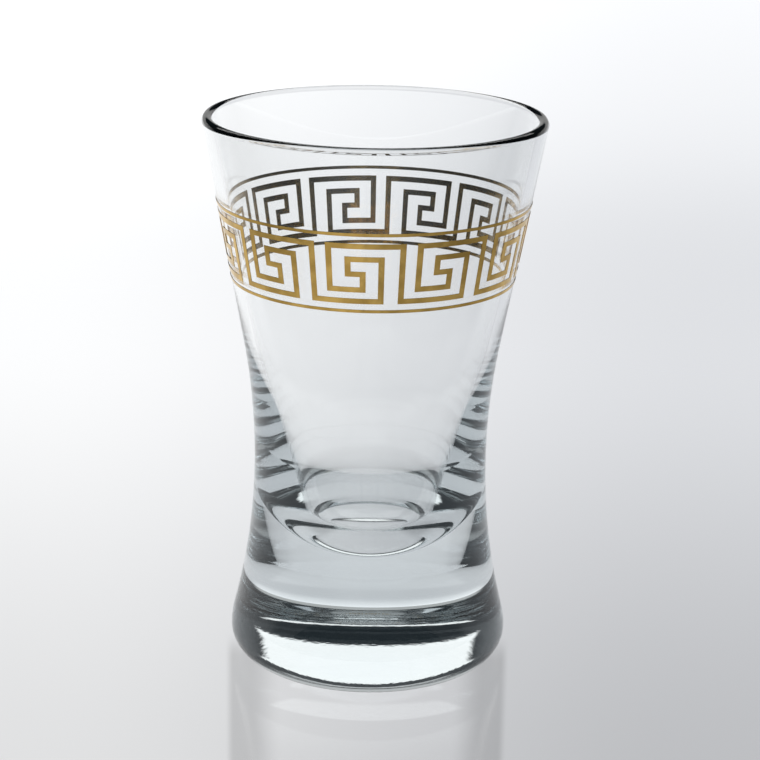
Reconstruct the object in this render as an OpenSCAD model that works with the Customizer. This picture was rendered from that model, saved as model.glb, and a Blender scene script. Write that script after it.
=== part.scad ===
// Shot glass: a clear tumbler with a narrow waist and a thick solid base.
// Round its straight wall runs a gold key pattern, with a thin gold line above and below it.
// Millimetres, +Z up. The origin is the middle of the surface that the glass stands on.

/* [Glass] */
// Height of the glass
glass_h = 79.7; // [66:0.1:96]
// Diameter over the rim
rim_d = 48.25; // [40:0.05:58]
// Thickness of the straight wall, which the round rim takes as its diameter
wall = 1.5; // [1.2:0.05:2.2]

/* [Waist] */
// Diameter of the glass at its narrowest
waist_d = 33.55; // [27:0.05:38]
// Height of the narrowest place
waist_z = 30; // [25:0.5:36]
// Height at which the straight wall, carried on down, would come to the waist's diameter
taper_z = 38.8; // [37:0.1:46]
// Height of the bend below which the wall grows thicker
bend_z = 49; // [46:0.5:54]

/* [Foot] */
// Diameter over the foot
foot_d = 40.3; // [35:0.1:50]
// Radius of the curve from the foot's widest place up towards the waist
flank_r = 10.6; // [8:0.1:14]
// Radius of the rounded edge under the foot
heel_r = 3.8; // [3:0.1:5]
// Width of the flat ring that the glass stands on
ring_w = 1.2; // [1:0.1:4]
// Depth of the domed hollow inside that ring
hollow_h = 1.6; // [0.4:0.1:3]

/* [Bowl] */
// Thickness of the solid glass under the bowl
base_t = 16; // [12:0.5:18]
// Radius of the bowl's round bottom
bowl_r = 11.8; // [9:0.1:12]

/* [Gold] */
// Thickness of the gold
gold_t = 0.08; // [0.05:0.01:0.15]
// Width of the two plain lines
line_w = 0.45; // [0.3:0.05:0.8]
// Distance from the rim down to the middle of the upper line
line_drop = 11.9; // [9:0.1:16]
// Distance from the middle of the upper line to the middle of the lower line
line_gap = 10.9; // [9:0.1:13]
// Clear space between the upper line and the key pattern
upper_gap = 1; // [0.6:0.05:1.6]
// Clear space between the key pattern and the lower line
lower_gap = 0.85; // [0.6:0.05:1.6]
// Width of the upright strokes of the key pattern
key_upright_w = 0.82; // [0.5:0.02:1]
// Width of the level strokes of the key pattern
key_level_w = 0.76; // [0.5:0.02:0.9]
// Number of times that the key pattern repeats round the glass
key_repeats = 11; // [9:1:12]
// Turn of the whole pattern about the glass
key_turn = 10.5; // [0:0.5:32]

/* [Hidden] */
$fn = 96;

// Furthest that a curve of the outline may lie from its chords
chord_error = 0.01;

rim_r = wall / 2;
waist = [waist_d / 2, waist_z];
foot_r = foot_d / 2;

// Centre of the round rim, and the lean of the straight wall, which touches that round
rim_c = [rim_d / 2 - rim_r, glass_h - rim_r];
taper_foot = [waist.x, taper_z];
lean = atan2(rim_c.x - taper_foot.x, rim_c.y - taper_foot.y)
    + asin(rim_r / norm(rim_c - taper_foot));
wall_up = [sin(lean), cos(lean)];
wall_out = [cos(lean), -sin(lean)];

// The curve above the waist is upright at the waist and touches the straight wall
upper_curve_r = (taper_z - waist_z) / tan(lean / 2);

// The curve below the waist is upright at the waist and touches the flank of the foot
flank_c = [foot_r - flank_r, heel_r];
heel_c = [foot_r - heel_r, heel_r];
to_flank = waist - flank_c;
lower_curve_r = (to_flank * to_flank - flank_r * flank_r) / 2 / (foot_r - waist.x);
flank_sweep = atan2(to_flank.y, to_flank.x + lower_curve_r);

// Underside: a flat ring round a shallow domed hollow
hollow_r = heel_c.x - ring_w;
hollow_curve_r = (hollow_r * hollow_r + hollow_h * hollow_h) / 2 / hollow_h;
hollow_sweep = asin(hollow_r / hollow_curve_r);

// Inside: the straight wall down to the bend, then a line that touches the round bottom
wall_in = rim_c - rim_r * wall_out;
bend = wall_in - wall_up * (wall_in.y - bend_z) / cos(lean);
bowl_c = [0, base_t + bowl_r];
to_bend = bend - bowl_c;
bowl_a = atan2(to_bend.y, to_bend.x) - acos(bowl_r / norm(to_bend));
bend_down = [sin(bowl_a), -cos(bowl_a)];
bend_run = 8;

// Points along an arc about c from angle a to angle b, without its first point
function arc(c, r, a, b) =
    let (n = max(2, ceil(abs(b - a) / 2 / acos(1 - chord_error / r))))
    [for (i = [1:n]) c + r * [cos(a + (b - a) * i / n), sin(a + (b - a) * i / n)]];

// Points along a smooth curve from a to c whose ends lie along the lines a-b and b-c
function bend_curve(a, b, c) =
    [for (t = [0:0.1:1]) (1 - t) * (1 - t) * a + 2 * t * (1 - t) * b + t * t * c];

underside = concat(
    [[0, hollow_h]],
    arc([0, hollow_h - hollow_curve_r], hollow_curve_r, 90, 90 - hollow_sweep),
    [[heel_c.x, 0]]);
foot_side = concat(
    arc(heel_c, heel_r, -90, 0),
    arc(flank_c, flank_r, 0, flank_sweep),
    arc(waist + [lower_curve_r, 0], lower_curve_r, 180 + flank_sweep, 180));
wall_side = concat(
    [waist],
    arc(waist + [upper_curve_r, 0], upper_curve_r, 180, 180 - lean),
    [rim_c + rim_r * wall_out]);
rim_round = arc(rim_c, rim_r, -lean, 180 - lean);
inside = concat(
    bend_curve(bend + bend_run * wall_up, bend, bend + bend_run * bend_down),
    [bowl_c + bowl_r * [cos(bowl_a), sin(bowl_a)]],
    arc(bowl_c, bowl_r, bowl_a, -90));

// Heights of the gold
upper_line_z = glass_h - line_drop;
lower_line_z = upper_line_z - line_gap;
key_top_z = upper_line_z - line_w / 2 - upper_gap - key_level_w / 2;
key_bottom_z = lower_line_z + line_w / 2 + lower_gap + key_level_w / 2;

// The key pattern is one line that never breaks. Its strokes lie on uprights, given as shares of
// one repeat, and on levels, given as shares of its height. The first and last levels lie clear
// below and above the pattern.
key_uprights = [0, 0.19, 0.4, 0.565, 0.77, 1];
key_levels = [-0.2, 0, 0.21, 0.495, 0.765, 1, 1.2];
key_pitch = 360 / key_repeats;
key_half_a = atan(key_upright_w / 2 / (rim_c.x - line_drop * tan(lean)));

// The clear spaces of one repeat, each as [upright, upright, level, level] of the strokes round it.
// Four of them make a spiral that opens upwards, and four make one that opens downwards.
key_spaces = [
    [0, 1, 1, 6], [0, 4, 1, 2], [3, 4, 1, 4], [2, 4, 3, 4],
    [4, 5, 0, 5], [1, 5, 4, 5], [1, 2, 2, 5], [1, 3, 2, 3]];

// Radius of the outside of the glass at height z, anywhere above the waist
function glass_r(z) = lookup(z, [for (p = wall_side) [p.y, p.x]]);
function key_z(level) = key_bottom_z + (key_top_z - key_bottom_z) * key_levels[level];
function key_a(upright) = key_pitch * key_uprights[upright];

// A line of gold all round the wall, from height z0 to z1
module gold_strip(z0, z1) {
    heights = concat([z0], [for (p = wall_side) if (p.y > z0 && p.y < z1) p.y], [z1]);
    last = len(heights) - 1;
    rotate_extrude()
        polygon(concat(
            [for (z = heights) [glass_r(z), z]],
            [for (i = [last:-1:0]) [glass_r(heights[i]) + gold_t, heights[i]]]));
}

module plain_line(z) {
    gold_strip(z - line_w / 2, z + line_w / 2);
}

// A flat-sided wedge that cuts one clear space of the key pattern out of the wall's gold
module key_space(space) {
    a0 = key_a(space[0]) + key_half_a;
    a1 = key_a(space[1]) - key_half_a;
    z0 = key_z(space[2]) + key_level_w / 2;
    z1 = key_z(space[3]) - key_level_w / 2;
    translate([0, 0, z0])
        linear_extrude(z1 - z0)
            polygon([for (p = [[waist.x / 2, a0], [rim_d, a0], [rim_d, a1], [waist.x / 2, a1]])
                p[0] * [cos(p[1]), sin(p[1])]]);
}

module glass_body() {
    color([0.85, 0.9, 0.92, 0.45])
        rotate_extrude()
            polygon(concat(underside, foot_side, wall_side, rim_round, inside));
}

module upper_gold_line() {
    color("darkgoldenrod") plain_line(upper_line_z);
}

module gold_key_band() {
    color("darkgoldenrod")
        difference() {
            gold_strip(key_bottom_z - key_level_w / 2, key_top_z + key_level_w / 2);
            for (i = [0:key_repeats - 1])
                rotate([0, 0, key_turn - 90 + i * key_pitch])
                    for (space = key_spaces)
                        key_space(space);
        }
}

module lower_gold_line() {
    color("darkgoldenrod") plain_line(lower_line_z);
}

glass_body();
upper_gold_line();
gold_key_band();
lower_gold_line();
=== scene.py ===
"""Studio view of a clear shot glass with a fired gold key pattern. Lengths are in millimetres until a mesh is made."""
import math

import bpy
from mathutils import Matrix, Vector


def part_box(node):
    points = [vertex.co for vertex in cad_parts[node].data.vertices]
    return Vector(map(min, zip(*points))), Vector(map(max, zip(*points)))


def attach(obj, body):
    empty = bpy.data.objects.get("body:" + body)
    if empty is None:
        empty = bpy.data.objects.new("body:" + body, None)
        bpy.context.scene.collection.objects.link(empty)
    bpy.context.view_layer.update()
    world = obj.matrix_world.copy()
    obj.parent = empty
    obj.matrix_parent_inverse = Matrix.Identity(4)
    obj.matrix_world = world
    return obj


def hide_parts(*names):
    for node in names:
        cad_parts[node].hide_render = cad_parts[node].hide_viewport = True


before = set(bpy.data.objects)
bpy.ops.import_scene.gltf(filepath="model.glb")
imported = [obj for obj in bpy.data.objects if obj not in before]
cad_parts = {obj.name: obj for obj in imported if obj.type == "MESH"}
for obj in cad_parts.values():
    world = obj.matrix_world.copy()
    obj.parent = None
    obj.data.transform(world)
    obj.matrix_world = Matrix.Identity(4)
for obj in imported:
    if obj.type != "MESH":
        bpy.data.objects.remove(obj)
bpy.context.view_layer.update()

# The glass, as in the CAD model
glass_low, glass_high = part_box("glass_body")
GLASS_H = (glass_high.z - glass_low.z) * 1000
RIM_D = (glass_high.x - glass_low.x) * 1000
WALL = 1.5
WAIST_D, WAIST_Z, TAPER_Z, BEND_Z = 33.55, 30, 38.8, 49
FOOT_D, FLANK_R, HEEL_R, RING_W, HOLLOW_H = 40.3, 10.6, 3.8, 1.2, 1.6
BASE_T, BOWL_R, BEND_RUN = 16, 11.8, 8

TURN_STEPS = 352       # faces round the glass, a whole number for each repeat of the key pattern
CHORD_ERROR = 0.002    # furthest that an outline's curve may lie from its chords
FLOOR_Z = -0.03        # a hair below the glass, so that the two surfaces never coincide


def arc(c, r, a, b):
    """Points (radius, height, lean of the surface's normal) along an arc about c from angle a to angle b.

    Angles are in degrees. An arc that runs clockwise bounds glass on its far side from c, so its normal is turned."""
    n = max(3, math.ceil(abs(b - a) / 2 / math.degrees(math.acos(1 - CHORD_ERROR / r))))
    points = []
    for i in range(n + 1):
        turn = math.radians(a + (b - a) * i / n)
        points.append((c[0] + r * math.cos(turn), c[1] + r * math.sin(turn), turn if b > a else turn + math.pi))
    return points


def bend_curve(a, b, c):
    """Points along a smooth curve from a to c whose ends lie along the lines a-b and b-c."""
    points = []
    for i in range(25):
        t = i / 24
        x, z = ((1 - t) ** 2 * a[k] + 2 * t * (1 - t) * b[k] + t * t * c[k] for k in (0, 1))
        dx, dz = ((1 - t) * (b[k] - a[k]) + t * (c[k] - b[k]) for k in (0, 1))
        points.append((x, z, math.atan2(dz, dx) - math.pi / 2))
    return points


def glass_outline():
    """Half of the glass's section, from the middle of the underside round the rim to the middle of the bowl's floor."""
    rim_r = WALL / 2
    waist_r = WAIST_D / 2
    foot_r = FOOT_D / 2
    rim_c = (RIM_D / 2 - rim_r, GLASS_H - rim_r)
    rise = (rim_c[0] - waist_r, rim_c[1] - TAPER_Z)
    lean = math.atan2(*rise) + math.asin(rim_r / math.hypot(*rise))
    lean_deg = math.degrees(lean)
    upper_r = (TAPER_Z - WAIST_Z) / math.tan(lean / 2)

    flank_x = foot_r - FLANK_R
    heel_x = foot_r - HEEL_R
    dx, dz = waist_r - flank_x, WAIST_Z - HEEL_R
    lower_r = (dx * dx + dz * dz - FLANK_R ** 2) / 2 / (foot_r - waist_r)
    sweep = math.degrees(math.atan2(dz, dx + lower_r))

    hollow_r = heel_x - RING_W
    hollow_curve = (hollow_r ** 2 + HOLLOW_H ** 2) / 2 / HOLLOW_H
    hollow_sweep = math.degrees(math.asin(hollow_r / hollow_curve))

    wall_in = (rim_c[0] - rim_r * math.cos(lean), rim_c[1] + rim_r * math.sin(lean))
    bend = (wall_in[0] - (wall_in[1] - BEND_Z) * math.tan(lean), BEND_Z)
    bowl_z = BASE_T + BOWL_R
    bowl_a = math.atan2(bend[1] - bowl_z, bend[0]) - math.acos(BOWL_R / math.hypot(bend[0], bend[1] - bowl_z))
    above = (bend[0] + BEND_RUN * math.sin(lean), bend[1] + BEND_RUN * math.cos(lean))
    below = (bend[0] + BEND_RUN * math.sin(bowl_a), bend[1] - BEND_RUN * math.cos(bowl_a))

    outline = arc((0, HOLLOW_H - hollow_curve), hollow_curve, 90, 90 - hollow_sweep)
    outline += [(hollow_r + 0.05, 0, -math.pi / 2)]
    outline += arc((heel_x, HEEL_R), HEEL_R, -90, 0)
    outline += arc((flank_x, HEEL_R), FLANK_R, 0, sweep)[1:]
    outline += arc((waist_r + lower_r, WAIST_Z), lower_r, 180 + sweep, 180)[1:]
    outline += arc((waist_r + upper_r, WAIST_Z), upper_r, 180, 180 - lean_deg)[1:]
    outline += arc(rim_c, rim_r, -lean_deg, 180 - lean_deg)
    outline += bend_curve(above, bend, below)
    outline += arc((0, bowl_z), BOWL_R, math.degrees(bowl_a), -90)
    return outline


def new_piece(name, verts, faces):
    mesh = bpy.data.meshes.new(name)
    mesh.from_pydata([Vector(v) * 0.001 for v in verts], [], faces)
    mesh.polygons.foreach_set("use_smooth", [True] * len(mesh.polygons))
    mesh.update()
    piece = bpy.data.objects.new(name, mesh)
    bpy.context.scene.collection.objects.link(piece)
    return piece


def lathe(name, outline, steps):
    """A mesh turned about the Z axis, with the outline's own normals. Points at radius 0 become one vertex."""
    verts, normals, rings = [], [], []
    for r, z, lean in outline:
        copies = 1 if r < 1e-6 else steps
        rings.append([len(verts) + i % copies for i in range(steps)])
        for i in range(copies):
            a = 2 * math.pi * i / steps
            verts.append((r * math.cos(a), r * math.sin(a), z))
            n = math.cos(lean) if copies > 1 else 0
            normals.append((n * math.cos(a), n * math.sin(a), math.sin(lean)))
    faces = []
    for lower, upper in zip(rings, rings[1:]):
        for i in range(steps):
            j = (i + 1) % steps
            faces.append(list(dict.fromkeys((lower[i], lower[j], upper[j], upper[i]))))
    piece = new_piece(name, verts, faces)
    piece.data.normals_split_custom_set_from_vertices(normals)
    return piece


class Nodes:
    """Short calls for adding nodes to one tree."""

    def __init__(self, tree):
        self.tree = tree

    def add(self, kind, inputs=(), **settings):
        node = self.tree.nodes.new(kind)
        for key, value in settings.items():
            setattr(node, key, value)
        for key, value in dict(inputs).items():
            self.plug(value, node.inputs[key])
        return node

    def plug(self, value, socket):
        if isinstance(value, bpy.types.NodeSocket):
            self.tree.links.new(value, socket)
        else:
            socket.default_value = value

    def maths(self, operation, a, b=0.0):
        return self.add("ShaderNodeMath", {0: a, 1: b}, operation=operation).outputs[0]

    def ramp(self, value, a, b, low=0.0, high=1.0, kind="SMOOTHSTEP"):
        """low up to value a, high from value b on, and a smooth change between them."""
        node = self.add("ShaderNodeMapRange", {"Value": value, "From Min": a, "From Max": b}, interpolation_type=kind)
        node.inputs["To Min"].default_value = low
        node.inputs["To Max"].default_value = high
        return node.outputs["Result"]

    def mix(self, factor, a, b):
        """Colour a at factor 0 and colour b at factor 1."""
        node = self.add("ShaderNodeMix", data_type="RGBA")
        for value, socket in zip((factor, a, b), (node.inputs[0], node.inputs[6], node.inputs[7])):
            self.plug(value, socket)
        return node.outputs[2]

    def noise(self, vector, scale, detail=2.0):
        return self.add("ShaderNodeTexNoise", {"Vector": vector, "Scale": scale, "Detail": detail}).outputs["Fac"]

    def coords(self, name="Object"):
        return self.add("ShaderNodeTexCoord").outputs[name]

    def split(self, vector):
        return self.add("ShaderNodeSeparateXYZ", {0: vector}).outputs

    def radius(self, place):
        """Distance from the glass's axis."""
        level = self.add("ShaderNodeVectorMath", {0: place, 1: (1, 1, 0)}, operation="MULTIPLY").outputs[0]
        return self.add("ShaderNodeVectorMath", {0: level}, operation="LENGTH").outputs["Value"]


def new_material(name):
    material = bpy.data.materials.new(name)
    material.use_nodes = True
    return material, Nodes(material.node_tree), material.node_tree.nodes["Principled BSDF"]


def glass_material():
    """Clear glass, cool grey where it is thick. Its underside is a little uneven, as pressed glass is."""
    material, nodes, shader = new_material("clear_glass")
    place = nodes.coords()
    cloud = nodes.noise(place, 60.0)
    nodes.plug(nodes.mix(cloud, (0.985, 0.992, 0.993, 1), (0.992, 0.996, 0.997, 1)), shader.inputs["Base Color"])
    below = nodes.maths("MULTIPLY", nodes.ramp(nodes.split(place)["Z"], 0.0016, 0.0020, 1.0, 0.0),
                        nodes.ramp(nodes.radius(place), 0.0163, 0.0166, 1.0, 0.0))
    uneven = nodes.maths("MULTIPLY", nodes.noise(place, 1300.0), below)
    bump = nodes.add("ShaderNodeBump", {"Height": uneven, "Strength": 1.0, "Distance": 0.00001})
    nodes.plug(bump.outputs["Normal"], shader.inputs["Normal"])
    shader.inputs["Roughness"].default_value = 0
    shader.inputs["IOR"].default_value = 1.52
    shader.inputs["Transmission Weight"].default_value = 1
    absorb = nodes.add("ShaderNodeVolumeAbsorption", {"Color": (0.62, 0.70, 0.73, 1), "Density": 20.0})
    output = material.node_tree.nodes["Material Output"]
    nodes.plug(absorb.outputs["Volume"], output.inputs["Volume"])
    return material


def gold_material(name, seed):
    """Thin fired gold: bright, slightly cloudy and slightly uneven."""
    material, nodes, shader = new_material(name)
    place = nodes.add("ShaderNodeVectorMath", {0: nodes.coords(), 1: (seed, seed, seed)}, operation="ADD").outputs[0]
    cloud = nodes.noise(place, 350.0, 3.0)
    fine = nodes.noise(place, 2500.0, 2.0)
    nodes.plug(nodes.mix(nodes.ramp(cloud, 0.35, 0.65), (0.50, 0.32, 0.085, 1), (0.68, 0.45, 0.13, 1)),
               shader.inputs["Base Color"])
    nodes.plug(nodes.ramp(fine, 0.3, 0.7, 0.06, 0.14), shader.inputs["Roughness"])
    bump = nodes.add("ShaderNodeBump", {"Height": fine, "Strength": 0.25, "Distance": 0.00004})
    nodes.plug(bump.outputs["Normal"], shader.inputs["Normal"])
    shader.inputs["Metallic"].default_value = 1
    return material


def floor_material():
    """A pale glossy surface, lit from within: brightest behind and to the left of the glass, with a painted shadow of
    the glass as two dark streaks in front of its foot.
    """
    material, nodes, shader = new_material("pale_floor")
    place = nodes.split(nodes.coords())
    x, y = place["X"], place["Y"]
    spread = nodes.maths("DIVIDE", x, nodes.maths("MAXIMUM", nodes.maths("ADD", y, 0.3133), 0.2))
    back = nodes.ramp(y, -0.10, 0.16)
    side = nodes.ramp(spread, -0.16, 0.16)
    level = nodes.maths("ADD", nodes.ramp(back, 0.0, 1.0, 0.58, 0.87, "LINEAR"),
                        nodes.ramp(side, 0.0, 1.0, 0.10, -0.12, "LINEAR"))
    across = nodes.maths("ABSOLUTE", spread)
    # Painted shadow of the glass: the floor's glow is cut by up to a quarter in two streaks in front of the glass's
    # sides, fanning out from the point below the camera.
    painted_shadow = nodes.maths("MULTIPLY", nodes.ramp(across, 0.040, 0.056), nodes.ramp(across, 0.0635, 0.068, 1.0, 0.0))
    painted_shadow = nodes.maths("MULTIPLY", painted_shadow, nodes.ramp(y, -0.006, 0.004, 0.26, 0.0))
    for part in (nodes.maths("SUBTRACT", 1.0, painted_shadow), nodes.ramp(y, -0.45, -0.25, 0.1, 1.0),
                 nodes.ramp(across, 0.28, 0.6, 1.0, 0.35)):
        level = nodes.maths("MULTIPLY", level, part)
    nodes.plug(level, shader.inputs["Emission Strength"])
    nodes.plug(nodes.mix(side, (0.985, 0.99, 1.0, 1), (0.95, 0.965, 1.0, 1)), shader.inputs["Emission Color"])
    nodes.plug(nodes.mix(side, (0.10, 0.10, 0.10, 1), (0.08, 0.08, 0.085, 1)), shader.inputs["Base Color"])
    shader.inputs["Roughness"].default_value = 0.12
    shader.inputs["IOR"].default_value = 1.4
    return material


# The glass itself, turned finely, and its gold
glass = lathe("glass", glass_outline(), TURN_STEPS)
glass.data.materials.append(glass_material())
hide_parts("glass_body")
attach(glass, "root")

gold = {"upper_gold_line": gold_material("gold_upper_line", 1.3),
        "gold_key_band": gold_material("gold_key", 2.1),
        "lower_gold_line": gold_material("gold_lower_line", 3.7)}
for node, material in gold.items():
    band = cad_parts[node]
    band.data.materials.clear()
    band.data.materials.append(material)

# The floor
size = 6000
floor = new_piece("floor", [(x, y, FLOOR_Z) for x, y in ((-size, -size), (size, -size), (size, size), (-size, size))],
                  [(0, 1, 2, 3)])
floor.data.materials.append(floor_material())

# The studio: a soft panel stands behind the glass, above a dark gap and a pale horizon. A dimmer light hangs above.
world = bpy.data.worlds.new("studio")
bpy.context.scene.world = world
world.use_nodes = True
nodes = Nodes(world.node_tree)
way = nodes.split(nodes.coords("Generated"))
depth = nodes.maths("MAXIMUM", way["Y"], 0.001)
across = nodes.maths("ABSOLUTE", nodes.maths("DIVIDE", way["X"], depth))
rise = nodes.maths("DIVIDE", way["Z"], depth)
panel = nodes.maths("MULTIPLY", nodes.ramp(across, 0.72, 0.85, 1.0, 0.0),
                    nodes.maths("MULTIPLY", nodes.ramp(rise, 0.52, 0.57), nodes.ramp(rise, 1.1, 1.5, 1.0, 0.0)))
horizon = nodes.maths("MULTIPLY", nodes.ramp(across, 0.8, 1.2, 0.42, 0.0), nodes.ramp(rise, 0.20, 0.24, 1.0, 0.0))
forward = nodes.maths("SUBTRACT", way["Z"], nodes.maths("MULTIPLY", way["Y"], 0.35))
overhead = nodes.ramp(forward, 0.75, 0.90, 0.0, 0.28)
light = nodes.maths("MAXIMUM", nodes.maths("MAXIMUM", panel, overhead), horizon)
background = world.node_tree.nodes["Background"]
nodes.plug(nodes.mix(light, (0.015, 0.02, 0.023, 1), (1.0, 1.0, 0.985, 1)), background.inputs["Color"])
background.inputs["Strength"].default_value = 1.3

# The camera
camera_data = bpy.data.cameras.new("camera")
camera = bpy.data.objects.new("camera", camera_data)
bpy.context.scene.collection.objects.link(camera)
camera_data.lens = 108.1
camera_data.sensor_width = 36
camera_data.clip_start = 0.01
camera_data.clip_end = 50
PITCH, HEADING, ROLL = 17.3, 0.226, 0.97
turn = Matrix.Rotation(math.radians(-HEADING), 4, "Z") @ Matrix.Rotation(math.radians(90 - PITCH), 4, "X")
camera.matrix_world = (Matrix.Translation((0, -0.3133, 0.1387)) @ turn
                       @ Matrix.Rotation(math.radians(ROLL), 4, "Z"))
bpy.context.scene.camera = camera

scene = bpy.context.scene
scene.view_settings.view_transform = "Standard"
scene.cycles.max_bounces = 24
scene.cycles.transmission_bounces = 24
scene.cycles.glossy_bounces = 16
